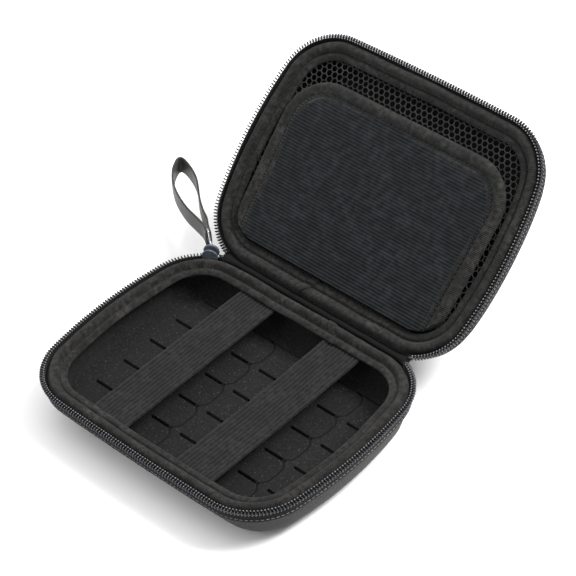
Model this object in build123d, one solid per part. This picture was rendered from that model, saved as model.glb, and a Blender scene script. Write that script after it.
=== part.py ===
from build123d import *
import os
from math import cos, hypot, radians, sin

# Soft-shell zip case for tabletop miniatures, lying open. Millimetres, +Z up.
# The origin is on the ground under the middle of the base tray. X runs along the
# hinge, -Y is the opening (front) side and +Y the hinge (rear) side.
# Each half is drawn in rim coordinates: z = 0 in the plane where the two zipper
# halves meet and -z down into the half. The base is then lifted onto the ground,
# and the lid is turned over and swung open about the hinge line.

# ---- driving dimensions -------------------------------------------------------
case_length = 180.0        # X, over the zipper teeth
case_depth = 136.7         # Y, over the zipper teeth, hinge side to front bulge
base_height = 31.0         # ground to the rim plane
lid_height = 26.0          # rim plane to the lid's outer face
opening_angle = 138.0      # lid opening from closed, as stored

corner_radius = 34.0       # plan corners, at the zipper teeth
side_bow = 2.7             # how far the two short sides bow outwards
front_bow = 0.7            # how far the front side bows outwards

wall_slope_x = 0.24        # inward lean of the end walls, mm per mm of depth
wall_slope_y = 0.42        # inward lean of the front and rear walls
shell_top = -5.0           # top edge of the moulded shell, in rim coordinates
shell_inset = 2.2          # shell's outer face at its top edge
shell_wall = 2.4
lining_wall = 0.6
floor_radius = 12.0        # outer radius between walls and floor

binding_outer = 3.6        # insets of the binding's profile
binding_top = 6.4
binding_groove = 9.6
binding_inner = 13.8

tape_inset = 1.7
tape_thickness = 0.5
tape_low = -9.0
coil_inset = 0.2
coil_width = 1.5
coil_top = -0.6
coil_height = 1.9
zip_start_angle = 113.5    # where the coil starts on the rear corner arcs
tape_start_angle = 109.0
stop_angle = 111.3         # moulded stop at the end of each coil

foam_top = -23.3
foam_split = -26.4         # joint between the backing sheet and the slotted pad
slot_columns = 7
slot_rows = 4
slot_pitch_x = 20.5
slot_pitch_y = 19.7
slot_length = 15.0
slot_width = 1.7

band_width = 24.6
band_offset = 30.0         # band centre line from the case's middle
band_thickness = 1.2
band_end = 60.6            # half the band's length, ends tucked under the binding

panel_half_width = 74.4
panel_clearance = 15.0     # inset of its rear corners from the case's outline
panel_far = -43.0          # far edge, in plan
panel_near = 52.6          # hinge edge
panel_lean = 3.4           # how far each side leans in at the hinge edge
panel_corner = 27.0
panel_binding_width = 11.5
panel_front = -1.2         # front face of the panel's cloth, in rim coordinates
panel_cloth = 0.7
panel_board = 1.6
panel_bead = 7.0           # rolled part of the panel's binding
panel_bead_rise = 0.8      # bead above the front cloth
panel_bead_back = 0.5      # bead behind the back cloth
panel_lip = 0.4            # flat inner lip of the panel's binding
panel_tape_half = 59.0     # half length of the cloth hinge that carries the panel

net_top = -5.05
net_thickness = 0.5
net_inset = 6.4
net_near = 47.0            # free edge of the net, towards the hinge
net_hem_width = 7.0
net_hem_thickness = 1.2

slider_angle = 122.0       # parked place of the slider on the corner arc
slider_span = 15.6         # the slider's length, in degrees of the corner arc
slider_half_height = 4.3
slider_above = 0.4         # the solid stops here: above it the lid's coil comes down
slider_plate = 1.3
slider_clearance = 0.15
ring_wire = 0.5            # radius of the pull ring's wire
ring_waist = (3.4, 2.3)     # the sides stay close together this far out, clear of the lid
ring_shoulder = 6.5
ring_length = 8.8
ring_inner_half = 1.9      # the ring is narrow in the bail and wide at the ribbon
ring_outer_half = 6.75
ribbon_width = 12.0
ribbon_thickness = 1.0
ribbon_heading = 148.0     # direction of the puller ribbon, seen from above
ribbon_rise = 8.0          # its upward slope in degrees
# Puller ribbon, seen along its width: distance from the ring, sideways place, bend radius.
ribbon_route = [
    (-1.6, 1.3, 1.1), (3.6, 1.1, 6.0), (8.8, 3.0, 8.0), (20.5, 8.0, 14.0),
    (36.5, 10.4, 14.0), (49.5, 8.0, 7.0), (59.5, 0.4, 3.5), (40.5, -4.6, 12.0),
    (26.5, -2.0, 14.0), (15.0, -1.2, 12.0), (8.8, -2.2, 8.0), (3.6, -1.3, 6.0),
    (-1.6, -1.3, 1.1),
]

hinge_gap = 0.4            # hinge line to the shell's rear face
spine_half_length = 52.0
spine_thickness = 0.7
spine_low = -14.0

# ---- derived plan geometry ------------------------------------------------------
corner_x = case_length / 2 - side_bow - corner_radius
corner_y = (case_depth - front_bow) / 2 - corner_radius
hinge_y = corner_y + corner_radius - shell_inset + hinge_gap


def towards(centre, start, length):
    """Point at a length from a centre, on the far side of it from start."""
    dx = centre[0] - start[0]
    dy = centre[1] - start[1]
    size = hypot(dx, dy)
    return (centre[0] + dx / size * length, centre[1] + dy / size * length)


def on_circle(centre, radius, angle):
    return (
        centre[0] + radius * cos(radians(angle)),
        centre[1] + radius * sin(radians(angle)),
    )


def plan(inset_x, inset_y):
    """Centres, radius and tangent points of the plan outline at the given insets."""
    inset = (inset_x + inset_y) / 2
    radius = corner_radius - inset
    cx = corner_x - (inset_x - inset)
    cy = corner_y - (inset_y - inset)
    half_x = cx + radius + side_bow
    half_y = cy + radius + front_bow
    side_radius = (cy**2 + (cx - half_x) ** 2 - radius**2) / (2 * side_bow)
    front_radius = (cx**2 + (cy - half_y) ** 2 - radius**2) / (2 * front_bow)
    side_centre = (side_radius - half_x, 0)
    front_centre = (0, front_radius - half_y)
    return {
        "radius": radius,
        "rear": (-cx, cy),
        "front": (-cx, -cy),
        "rear_start": (-cx, cy + radius),
        "side_start": towards((-cx, cy), side_centre, radius),
        "side_middle": (-half_x, 0),
        "side_end": towards((-cx, -cy), side_centre, radius),
        "front_start": towards((-cx, -cy), front_centre, radius),
        "front_middle": (0, -half_y),
    }


def at_height(point, z):
    return Vector(point[0], point[1], z)


def flipped(point):
    return (-point[0], point[1])


def arc(first, middle, last, z):
    return ThreePointArc(at_height(first, z), at_height(middle, z), at_height(last, z))


def corner_arc(start, end, centre, radius, z):
    """Arc of a plan corner from start to end, by way of its middle."""
    chord_middle = ((start[0] + end[0]) / 2, (start[1] + end[1]) / 2)
    out_x = chord_middle[0] - centre[0]
    out_y = chord_middle[1] - centre[1]
    scale = radius / hypot(out_x, out_y)
    top = (centre[0] + out_x * scale, centre[1] + out_y * scale)
    return arc(start, top, end, z)


def three_sides(shape, start, z):
    """Edges round the left end, the front and the right end, from start to its mirror."""
    side_start = shape["side_start"]
    side_end = shape["side_end"]
    front_start = shape["front_start"]
    rear = shape["rear"]
    front = shape["front"]
    radius = shape["radius"]
    side_middle = shape["side_middle"]
    return [
        corner_arc(start, side_start, rear, radius, z),
        arc(side_start, side_middle, side_end, z),
        corner_arc(side_end, front_start, front, radius, z),
        arc(front_start, shape["front_middle"], flipped(front_start), z),
        corner_arc(flipped(front_start), flipped(side_end), flipped(front), radius, z),
        arc(flipped(side_end), flipped(side_middle), flipped(side_start), z),
        corner_arc(flipped(side_start), flipped(start), flipped(rear), radius, z),
    ]


def outline(inset_x, inset_y, z):
    """Closed plan outline that starts at the middle of the rear side."""
    shape = plan(inset_x, inset_y)
    start = shape["rear_start"]
    middle = at_height((0, start[1]), z)
    edges = [Line(middle, at_height(start, z))]
    edges += three_sides(shape, start, z)
    edges += [Line(at_height(flipped(start), z), middle)]
    return Wire(edges)


def slab(inset, low, high):
    """Plate of the plan shape between two heights."""
    return extrude(Face(outline(inset, inset, low)), high - low, dir=(0, 0, 1))


def zip_path(inset, start_angle):
    """Open path of the zipper round three sides, between the two rear corners."""
    shape = plan(inset, inset)
    start = on_circle(shape["rear"], shape["radius"], start_angle)
    return Wire(three_sides(shape, start, 0))


def tray_form(extra, top, depth, radius):
    """Solid tapered form of a half, with rounded floor edges."""
    drop = shell_top + depth
    low_x = shell_inset + extra + wall_slope_x * drop
    low_y = shell_inset + extra + wall_slope_y * drop
    rise = top - shell_top
    high_x = shell_inset + extra - wall_slope_x * rise
    high_y = shell_inset + extra - wall_slope_y * rise
    high = outline(high_x, high_y, top)
    low = outline(low_x, low_y, -depth)
    form = Solid.make_loft([high, low], ruled=True)
    floor_edges = form.faces().sort_by(Axis.Z)[0].edges()
    return form.fillet(radius, floor_edges)


# ---- the two halves ---------------------------------------------------------------
def shell(depth):
    wall = shell_wall
    outer = tray_form(0, shell_top, depth, floor_radius)
    inner = tray_form(wall, shell_top, depth - wall, floor_radius - wall)
    return outer - inner


def cavity(depth, extra=0.0):
    """Space inside the lining, or inside a further layer of the given thickness."""
    wall = shell_wall + lining_wall + extra
    return tray_form(wall, shell_top, depth - wall, floor_radius - wall)


def lining(depth):
    wall = shell_wall
    outer = tray_form(wall, shell_top, depth - wall, floor_radius - wall)
    return outer - cavity(depth)


def rear_section_plane(inset):
    """Section plane at the middle of the rear side: x inwards, y up."""
    rear_y = plan(inset, inset)["rear_start"][1]
    return Plane(origin=(0, rear_y, 0), x_dir=(0, -1, 0), z_dir=(-1, 0, 0))


def rim_binding():
    """Grosgrain binding: a rolled outer bead, a stitched groove and a flat inner lip."""
    low = shell_top
    first = 0.0
    top = binding_top - binding_outer
    groove = binding_groove - binding_outer
    last = binding_inner - binding_outer
    section = Wire([
        Line((first, low), (first, -2.9)),
        ThreePointArc((first, -2.9), (0.9, -1.1), (top, -0.4)),
        ThreePointArc((top, -0.4), (5.0, -1.2), (groove, -3.1)),
        Line((groove, -3.1), (last - 0.9, -3.3)),
        ThreePointArc((last - 0.9, -3.3), (last, -4.1), (last - 0.7, low)),
        Line((last - 0.7, low), (first, low)),
    ])
    face = rear_section_plane(binding_outer) * Face(section)
    return sweep(face, path=outline(binding_outer, binding_outer, 0))


def zip_strip(inset, width, low, high, start_angle):
    """Strip of rectangular section that follows the zipper's path."""
    shape = plan(inset, inset)
    start = on_circle(shape["rear"], shape["radius"], start_angle)
    ray = Vector(cos(radians(start_angle)), sin(radians(start_angle)), 0)
    along = Vector(-ray.Y, ray.X, 0)
    section_plane = Plane(origin=(start[0], start[1], 0), x_dir=-ray, z_dir=along)
    section = Pos(width / 2, (low + high) / 2) * Rectangle(width, high - low)
    return sweep(section_plane * section, path=zip_path(inset, start_angle))


def zip_tape():
    return zip_strip(tape_inset, tape_thickness, tape_low, coil_top, tape_start_angle)


def zip_coil():
    low = coil_top - coil_height
    return zip_strip(coil_inset, coil_width, low, coil_top, zip_start_angle)


def zip_stops():
    """Moulded stops at the two ends of one zipper half."""
    radius = corner_radius - coil_inset - coil_width / 2
    centre = plan(0, 0)["rear"]
    x, y = on_circle(centre, radius, stop_angle)
    height = coil_height + 0.4
    middle = coil_top - coil_height / 2
    block = Box(coil_width, 2.2, height)
    block = fillet(block.edges(), 0.4)
    left = Pos(x, y, middle) * Rot(0, 0, stop_angle) * block
    right = Pos(-x, y, middle) * Rot(0, 0, -stop_angle) * block
    return Compound([left, right])


# ---- foam insert --------------------------------------------------------------------
def foam_backing():
    space = cavity(base_height, 0.15)
    cut = Pos(0, 0, foam_split - 50) * Box(300, 300, 100)
    return space & cut


def slot_positions():
    for column in range(slot_columns):
        for row in range(slot_rows):
            x = (column - (slot_columns - 1) / 2) * slot_pitch_x
            y = (row - (slot_rows - 1) / 2) * slot_pitch_y
            yield x, y


def foam_pad():
    space = cavity(base_height, 0.15)
    height = foam_top - foam_split
    cut = Pos(0, 0, foam_split + height / 2) * Box(300, 300, height)
    pad = space & cut
    slots = Sketch() + [
        Pos(x, y) * SlotOverall(slot_length, slot_width) for x, y in slot_positions()
    ]
    cutter = Pos(0, 0, foam_split) * extrude(slots, height + 1)
    return pad - cutter


# ---- elastic bands ---------------------------------------------------------------------
def elastic_band(side):
    """Woven elastic strap from the front rim to the rear rim."""
    body = Box(band_width, 2 * band_end, band_thickness)
    body = fillet(body.edges().filter_by(Axis.Y), 0.5)
    return Pos(side * band_offset, 0, shell_top - band_thickness / 2) * body


def band_tacks():
    """Sewn bar tacks under both ends of both straps."""
    height = 0.5
    low = shell_top - band_thickness - height
    tack = Box(band_width - 5, 1.4, height)
    tacks = []
    for side in (-1, 1):
        for end in (-1, 1):
            for from_end in (2.5, 5.5):
                y = end * (band_end - from_end)
                tacks.append(Pos(side * band_offset, y, low + height / 2) * tack)
    return Compound(tacks)


# ---- net pocket in the lid -------------------------------------------------------------
def plan_plate(inset, high, thickness, near):
    """Plate of the plan shape, cut off straight on its hinge side."""
    low = high - thickness
    plate = slab(inset, low, high)
    keep_box = Pos(0, near - 100, 0) * Box(300, 200, 100)
    return plate & keep_box


def net():
    hem_start = net_near - net_hem_width
    return plan_plate(net_inset, net_top, net_thickness, hem_start)


def net_hem():
    """Elastic hem along the net's free edge, the mouth of the pocket."""
    plate = plan_plate(net_inset + 0.6, net_top, net_hem_thickness, net_near)
    front = Pos(0, net_near - net_hem_width - 100, 0) * Box(300, 200, 100)
    return plate - front


# ---- divider panel ------------------------------------------------------------------------
def panel_face(inset, near):
    """Flap outline: sides that lean in towards the hinge, two large far corners."""
    half = panel_half_width - inset
    near_half = half - panel_lean
    far = panel_far + inset
    face = make_face(
        Polyline((near_half, near), (half, far), (-half, far), (-near_half, near), close=True)
    )
    return fillet(face.vertices().group_by(Axis.Y)[0], panel_corner - inset)


def panel_plate(inset, near, low, high):
    return Pos(0, 0, low) * extrude(panel_face(inset, near), high - low)


def panel_layer(high, thickness):
    """Full layer of the flap inside its bound edge, clear of the lid's rim."""
    low = high - thickness
    rim = slab(panel_clearance + 0.3, low - 1, high + 1)
    return panel_plate(panel_bead, panel_near, low, high) & rim


def panel_binding():
    """Bound edge of the flap: a rolled bead and a flat lip on each face."""
    back = panel_front - 2 * panel_cloth - panel_board
    high = panel_front + panel_bead_rise
    low = back - panel_bead_back
    levels = [
        (high, 2.2), (high - 1.0, 0.5), ((high + low) / 2, 0.0), (low + 1.0, 0.5), (low, 2.2)
    ]
    wires = [
        Pos(0, 0, z) * panel_face(inset, panel_near).wire() for z, inset in reversed(levels)
    ]
    bead = Solid.make_loft(wires, ruled=True)
    open_end = panel_near + 10
    ring = bead - panel_plate(panel_bead, open_end, low - 1, high + 1)
    for lip_low in (panel_front, back - panel_lip):
        lip_high = lip_low + panel_lip
        lip = panel_plate(panel_bead - 1, panel_near, lip_low, lip_high)
        ring += lip - panel_plate(panel_binding_width, open_end, lip_low - 1, lip_high + 1)
    return ring & slab(panel_clearance, low - 1, high + 1)


def panel_hinge_tape():
    """Cloth strip that joins the flap to the lid, sewn under the rim binding."""
    thickness = 0.5
    near = panel_near + 0.8
    width = 7.6
    body = Box(2 * panel_tape_half, width, thickness)
    return Pos(0, near + width / 2, shell_top - thickness / 2) * body


# ---- slider and puller -----------------------------------------------------------------------
def arc_block(inner_inset, outer_inset, first, last, low, high):
    """Block between two radii of the rear-left corner, so it can follow the zipper."""
    centre = plan(0, 0)["rear"]
    outer = corner_radius - outer_inset
    inner = corner_radius - inner_inset
    middle = (first + last) / 2
    out_edge = arc(
        on_circle(centre, outer, first),
        on_circle(centre, outer, middle),
        on_circle(centre, outer, last), low,
    )
    in_edge = arc(
        on_circle(centre, inner, last),
        on_circle(centre, inner, middle),
        on_circle(centre, inner, first), low,
    )
    loop = Wire([
        out_edge, Line(out_edge @ 1, in_edge @ 0), in_edge, Line(in_edge @ 1, out_edge @ 0)
    ])
    return extrude(Face(loop), high - low, dir=(0, 0, 1))


bail_inset = -2.9          # the pull ring's pivot, outside the coil
ring_pivot = on_circle(plan(0, 0)["rear"], corner_radius - bail_inset, slider_angle)


def slider():
    """Slider with an outer plate, an inner plate, the bridge between and its bail."""
    first = slider_angle - slider_span / 2
    last = slider_angle + slider_span / 2
    low = -slider_half_height
    high = slider_above
    outer_face = coil_inset - slider_clearance - slider_plate
    inner_face = tape_inset + tape_thickness + slider_clearance
    outer = arc_block(coil_inset - slider_clearance, outer_face, first, last, low, high)
    inner = arc_block(inner_face + 1.0, inner_face, first, last, low, high)
    bridge = arc_block(
        inner_face + 0.5, outer_face + 0.5, last - 5.0, last - 0.6, -0.45, high
    )
    bail = arc_block(
        outer_face + 0.4, bail_inset - 2.2, slider_angle - 4.0, slider_angle + 4.0,
        -1.2, 1.2,
    )
    hole = Pos(ring_pivot[0], ring_pivot[1], 0) * Cylinder(1.25, 10)
    return outer + inner + bridge + (bail - hole)


def pull_plane():
    """Plane of the ring and ribbon: x along the ribbon, z along its width."""
    heading = radians(ribbon_heading)
    rise = radians(ribbon_rise)
    along = Vector(
        cos(rise) * cos(heading), cos(rise) * sin(heading), sin(rise)
    )
    width = Vector(
        -sin(rise) * cos(heading), -sin(rise) * sin(heading), cos(rise)
    )
    return Plane(origin=(ring_pivot[0], ring_pivot[1], 0), x_dir=along, z_dir=width)


def pull_ring():
    """Bent wire ring, narrow where it passes the bail and wide at the ribbon."""
    inner = ring_inner_half
    outer = ring_outer_half
    waist_out, waist_half = ring_waist
    path = FilletPolyline(
        (0, 0, -0.1), (0, 0, -inner), (waist_out, 0, -waist_half),
        (ring_shoulder, 0, -outer), (ring_length, 0, -outer), (ring_length, 0, outer),
        (ring_shoulder, 0, outer), (waist_out, 0, waist_half), (0, 0, inner), (0, 0, 0),
        radius=0.8,
    )
    section = Plane(origin=(0, 0, -0.1), z_dir=(0, 0, -1)) * Circle(ring_wire)
    return pull_plane() * sweep(section, path=path)


def puller_ribbon():
    """Sewn ribbon loop: a flat strap that runs out from the ring and back."""
    points = [(x + ring_length, y) for x, y, bend in ribbon_route]
    bends = [bend for x, y, bend in ribbon_route]
    route = FilletPolyline(*points, radius=bends, close=True)
    face = make_face(route.edges())
    half = ribbon_thickness / 2
    band = offset(face, half) - offset(face, -half)
    solid = Pos(0, 0, -ribbon_width / 2) * extrude(band, ribbon_width)
    return pull_plane() * solid


# ---- fabric spine behind the hinge --------------------------------------------------------------
def spine_leg():
    """Half of the spine in section: x is +Y, y is up, glued to the rear wall."""
    drop = shell_top - spine_low
    face_y = hinge_y - hinge_gap
    low_y = face_y - wall_slope_y * drop
    clear = 0.1
    thick = spine_thickness
    return [
        (low_y + clear, spine_low), (face_y + clear, shell_top),
        (face_y + clear, shell_top + 2.4), (face_y + clear + thick, shell_top + 2.4),
        (face_y + clear + thick, shell_top), (low_y + clear + thick, spine_low),
    ]


def swung(point):
    """Section point of the closed lid, turned over from the base and swung open."""
    angle = radians(opening_angle)
    y = point[0] - hinge_y
    z = -point[1]
    return (hinge_y + y * cos(angle) + z * sin(angle), -y * sin(angle) + z * cos(angle))


def hinge_spine():
    """Bonded fabric strip that joins the rear walls, folded at the hinge."""
    leg = spine_leg()
    lid_leg = [swung(point) for point in leg]
    cap = [leg[2], lid_leg[2], lid_leg[3], leg[3]]
    section_plane = Plane(origin=(-spine_half_length, 0, 0), x_dir=(0, 1, 0), z_dir=(1, 0, 0))
    body = None
    for points in (leg, lid_leg, cap):
        face = section_plane * make_face(Polyline(*points, close=True))
        piece = extrude(face, 2 * spine_half_length, dir=(1, 0, 0))
        body = piece if body is None else body + piece
    return body


# ---- assembly ----------------------------------------------------------------------------------------
def on_base(shape):
    return Pos(0, 0, base_height) * shape


def on_lid(shape):
    """Turn a half over onto the base, then swing it open about the hinge line."""
    turned = mirror(shape, about=Plane.XY)
    swing = Pos(0, hinge_y, 0) * Rot(-opening_angle, 0, 0) * Pos(0, -hinge_y, 0)
    return Pos(0, 0, base_height) * swing * turned


cloth_back_top = panel_front - panel_cloth - panel_board
nodes = {
    "base_shell": on_base(shell(base_height)),
    "base_lining": on_base(lining(base_height)),
    "base_binding": on_base(rim_binding()),
    "base_zipper_tape": on_base(zip_tape()),
    "base_zipper_coil": on_base(zip_coil()),
    "base_zipper_stops": on_base(zip_stops()),
    "foam_backing_sheet": on_base(foam_backing()),
    "foam_slotted_pad": on_base(foam_pad()),
    "elastic_band_left": on_base(elastic_band(-1)),
    "elastic_band_right": on_base(elastic_band(1)),
    "elastic_band_tacks": on_base(band_tacks()),
    "hinge_spine": on_base(hinge_spine()),
    "lid_shell": on_lid(shell(lid_height)),
    "lid_lining": on_lid(lining(lid_height)),
    "lid_binding": on_lid(rim_binding()),
    "lid_zipper_tape": on_lid(zip_tape()),
    "lid_zipper_coil": on_lid(zip_coil()),
    "lid_zipper_stops": on_lid(zip_stops()),
    "lid_net": on_lid(net()),
    "lid_net_hem": on_lid(net_hem()),
    "panel_hinge_tape": on_lid(panel_hinge_tape()),
    "panel_front_cloth": on_lid(panel_layer(panel_front, panel_cloth)),
    "panel_board": on_lid(panel_layer(panel_front - panel_cloth, panel_board)),
    "panel_back_cloth": on_lid(panel_layer(cloth_back_top, panel_cloth)),
    "panel_binding": on_lid(panel_binding()),
    "zipper_slider": on_base(slider()),
    "pull_ring": on_base(pull_ring()),
    "puller_ribbon": on_base(puller_ribbon()),
}

os.makedirs("parts", exist_ok=True)
for name, shape in nodes.items():
    export_step(shape, "parts/" + name + ".step")

print("hinge line y", round(hinge_y, 3), "z", base_height)
print("slider pivot", plan(0, 0)["rear"], "ring pivot", ring_pivot)
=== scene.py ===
import math
import bmesh
import bpy
from mathutils import Matrix, Vector, noise


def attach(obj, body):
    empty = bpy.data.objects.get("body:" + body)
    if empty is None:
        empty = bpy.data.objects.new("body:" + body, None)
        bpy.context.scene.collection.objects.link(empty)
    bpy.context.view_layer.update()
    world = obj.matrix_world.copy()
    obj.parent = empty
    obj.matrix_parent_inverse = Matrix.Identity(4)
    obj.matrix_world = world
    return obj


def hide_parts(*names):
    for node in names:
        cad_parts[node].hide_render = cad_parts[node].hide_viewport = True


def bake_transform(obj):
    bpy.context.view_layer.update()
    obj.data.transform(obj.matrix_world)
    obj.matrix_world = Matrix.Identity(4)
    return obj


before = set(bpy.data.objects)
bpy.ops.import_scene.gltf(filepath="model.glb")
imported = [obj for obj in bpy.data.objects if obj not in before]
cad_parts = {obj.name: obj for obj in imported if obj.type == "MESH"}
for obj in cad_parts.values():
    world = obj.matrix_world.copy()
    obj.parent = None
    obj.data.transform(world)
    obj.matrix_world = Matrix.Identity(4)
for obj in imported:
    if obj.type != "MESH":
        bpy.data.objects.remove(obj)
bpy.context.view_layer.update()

mm = 0.001

# The zip case lies open: base tray in front, lid swung back. Each half is shaped in
# millimetres with its rim plane at height 0 and the half below it, then put in its place.
casePlan = {
    "length": 180.0, "depth": 136.7, "corner": 34.0, "sideBow": 2.7, "frontBow": 0.7,
    "baseHeight": 31.0, "lidHeight": 26.0, "opening": 138.0, "hingeY": 66.2,
    "leanX": 0.24, "leanY": 0.42, "shellTop": -5.0,
}
cornerX = casePlan["length"] / 2 - casePlan["sideBow"] - casePlan["corner"]
cornerY = (casePlan["depth"] - casePlan["frontBow"]) / 2 - casePlan["corner"]

toBase = Matrix.Translation((0, 0, casePlan["baseHeight"]))
toLid = (
    toBase
    @ Matrix.Translation((0, casePlan["hingeY"], 0))
    @ Matrix.Rotation(math.radians(-casePlan["opening"]), 4, "X")
    @ Matrix.Translation((0, -casePlan["hingeY"], 0))
    @ Matrix.Scale(-1, 4, (0, 0, 1))
)
halfPlace = {"base": toBase, "lid": toLid}


# plan of the rim
ringCounts = {"rear": 22, "corner": 22, "side": 30, "front": 40}


def arcPoints(centre, radius, first, last, count):
    steps = [first + (last - first) * k / count for k in range(count)]
    return [(centre[0] + radius * math.cos(a), centre[1] + radius * math.sin(a)) for a in steps]


def ringPoints(insetX, insetY, startAngle=None):
    # once round the plan from the rear, by the left end and the front
    inset = (insetX + insetY) / 2
    radius = casePlan["corner"] - inset
    cx = cornerX - (insetX - inset)
    cy = cornerY - (insetY - inset)
    halfX = cx + radius + casePlan["sideBow"]
    halfY = cy + radius + casePlan["frontBow"]
    sideR = (cy ** 2 + (cx - halfX) ** 2 - radius ** 2) / (2 * casePlan["sideBow"])
    frontR = (cx ** 2 + (cy - halfY) ** 2 - radius ** 2) / (2 * casePlan["frontBow"])
    sideAngle = math.asin(cy / (sideR - radius))
    frontAngle = math.asin(cx / (frontR - radius))
    first = math.radians(90 if startAngle is None else startAngle)
    points = []
    if startAngle is None:
        for k in range(ringCounts["rear"]):
            points.append((-cx * k / ringCounts["rear"], cy + radius))
    points += arcPoints((-cx, cy), radius, first, math.pi - sideAngle, ringCounts["corner"])
    points += arcPoints(
        (sideR - halfX, 0), sideR, math.pi - sideAngle, math.pi + sideAngle, ringCounts["side"])
    points += arcPoints(
        (-cx, -cy), radius, math.pi + sideAngle, 1.5 * math.pi - frontAngle,
        ringCounts["corner"])
    points += arcPoints(
        (0, frontR - halfY), frontR, 1.5 * math.pi - frontAngle, 1.5 * math.pi,
        ringCounts["front"] // 2)
    points.append((0, -halfY))
    return points + [(-x, y) for x, y in reversed(points[:-1])]


def runLengths(points):
    total, lengths = 0.0, [0.0]
    for a, b in zip(points, points[1:]):
        total += math.hypot(b[0] - a[0], b[1] - a[1])
        lengths.append(total)
    return lengths


def evenlyAlong(points, pitch, closed=False):
    # places and headings at an even pitch along a run of plan points
    lengths = runLengths(points)
    count = round(lengths[-1] / pitch)
    places, at = [], 0
    for k in range(count if closed else count + 1):
        want = min(lengths[-1] * k / count, lengths[-1] - 1e-6)
        while lengths[at + 1] < want:
            at += 1
        a, b = points[at], points[at + 1]
        part = (want - lengths[at]) / (lengths[at + 1] - lengths[at])
        places.append((
            a[0] + (b[0] - a[0]) * part, a[1] + (b[1] - a[1]) * part,
            math.atan2(b[1] - a[1], b[0] - a[0])))
    return places


# mesh helpers
def finishPiece(bm, name, place, body, material, nodes=(), smooth=True):
    if place is not None:
        bmesh.ops.transform(bm, matrix=place, verts=bm.verts)
        if place.determinant() < 0:
            bmesh.ops.reverse_faces(bm, faces=bm.faces)
    bmesh.ops.scale(bm, vec=(mm, mm, mm), verts=bm.verts)
    mesh = bpy.data.meshes.new(name)
    bm.to_mesh(mesh)
    bm.free()
    for face in mesh.polygons:
        face.use_smooth = smooth
    mesh.materials.append(material)
    piece = bpy.data.objects.new(name, mesh)
    bpy.context.scene.collection.objects.link(piece)
    if body is not None:
        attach(piece, body)
    if nodes:
        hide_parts(*nodes)
    return piece


def clothGrid(columns, rows, placeOf, uvOf):
    # a grid of cloth: each crossing is put where placeOf says, with uv in millimetres
    bm = bmesh.new()
    uv = bm.loops.layers.uv.new("cloth")
    bmesh.ops.create_grid(bm, x_segments=columns, y_segments=rows, size=1)
    crossing = {}
    for vert in bm.verts:
        crossing[vert] = (
            round((vert.co.x + 1) / 2 * columns), round((vert.co.y + 1) / 2 * rows))
    for vert, (i, j) in crossing.items():
        vert.co = placeOf(i, j)
    for face in bm.faces:
        for loop in face.loops:
            loop[uv].uv = uvOf(*crossing[loop.vert])
    return bm


def rimStrip(levels, startAngle=None, loopAcross=False, wobble=None):
    # levels are (insetX, insetY, z): the strip follows the case's plan at each of them
    rings = [ringPoints(a, b, startAngle) for a, b, _ in levels]
    lengths = runLengths(ringPoints(4, 4, startAngle))
    across = [0.0]
    for (a, _, z), (a2, _, z2) in zip(levels, levels[1:]):
        across.append(across[-1] + math.hypot(a2 - a, z2 - z))

    def placeOf(i, j):
        x, y = rings[j][i]
        z = levels[j][2]
        if wobble is not None:
            x, y, z = wobble(x, y, z, lengths[i % (len(lengths) - 1)], across[j])
        return (x, y, z)

    bm = clothGrid(
        len(lengths) - 1, len(levels) - 1, placeOf, lambda i, j: (lengths[i], across[j]))
    if loopAcross or startAngle is None:
        bmesh.ops.remove_doubles(bm, verts=bm.verts, dist=1e-4)
    return bm


def closeHoles(bm):
    rims = [edge for edge in bm.edges if len(edge.link_faces) == 1]
    bmesh.ops.holes_fill(bm, edges=rims, sides=0)
    bmesh.ops.recalc_face_normals(bm, faces=bm.faces)


def copyMany(bm, source, matrices):
    for matrix in matrices:
        one = source.copy()
        one.transform(matrix)
        bm.from_mesh(one)
        bpy.data.meshes.remove(one)


def littleMesh(maker):
    bm = bmesh.new()
    maker(bm)
    mesh = bpy.data.meshes.new("little")
    bm.to_mesh(mesh)
    bm.free()
    return mesh


def stitchMesh(length, width, height):
    def maker(bm):
        bmesh.ops.create_uvsphere(bm, u_segments=6, v_segments=4, radius=0.5)
        bmesh.ops.rotate(bm, verts=bm.verts, matrix=Matrix.Rotation(math.pi / 2, 3, "Y"))
        bmesh.ops.scale(bm, vec=(length, width, height), verts=bm.verts)
    return littleMesh(maker)


def stitchPlaces(points, pitch, z, closed=False, tilt=0.0):
    places = []
    for x, y, heading in evenlyAlong(points, pitch, closed):
        turn = Matrix.Rotation(heading + tilt, 4, "Z")
        places.append(Matrix.Translation((x, y, z)) @ turn)
    return places


def roughness(seed, x, y, z, size, amount):
    return noise.noise(Vector((x / size + seed, y / size - seed, z / size))) * amount


# materials
def newMaterial(name, rough, specular=0.3, metallic=0.0):
    material = bpy.data.materials.new(name)
    material.use_nodes = True
    shader = material.node_tree.nodes["Principled BSDF"]
    shader.inputs["Roughness"].default_value = rough
    shader.inputs["Specular IOR Level"].default_value = specular
    shader.inputs["Metallic"].default_value = metallic
    return material, material.node_tree, shader


def addNode(tree, kind, inputs=None, **settings):
    node = tree.nodes.new(kind)
    for key, value in settings.items():
        setattr(node, key, value)
    for key, value in (inputs or {}).items():
        if isinstance(value, bpy.types.NodeSocket):
            tree.links.new(value, node.inputs[key])
        else:
            node.inputs[key].default_value = value
    return node


def mathNode(tree, operation, first, second=0.0):
    return addNode(tree, "ShaderNodeMath", {0: first, 1: second}, operation=operation).outputs[0]


def mixOf(tree, factor, first, second):
    node = tree.nodes.new("ShaderNodeMix")
    node.data_type = "RGBA"
    factorSocket, firstSocket, secondSocket = node.inputs[0], node.inputs[6], node.inputs[7]
    for socket, value in (
            (factorSocket, factor), (firstSocket, first), (secondSocket, second)):
        if isinstance(value, bpy.types.NodeSocket):
            tree.links.new(value, socket)
        else:
            socket.default_value = value
    return node.outputs[2]


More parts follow.
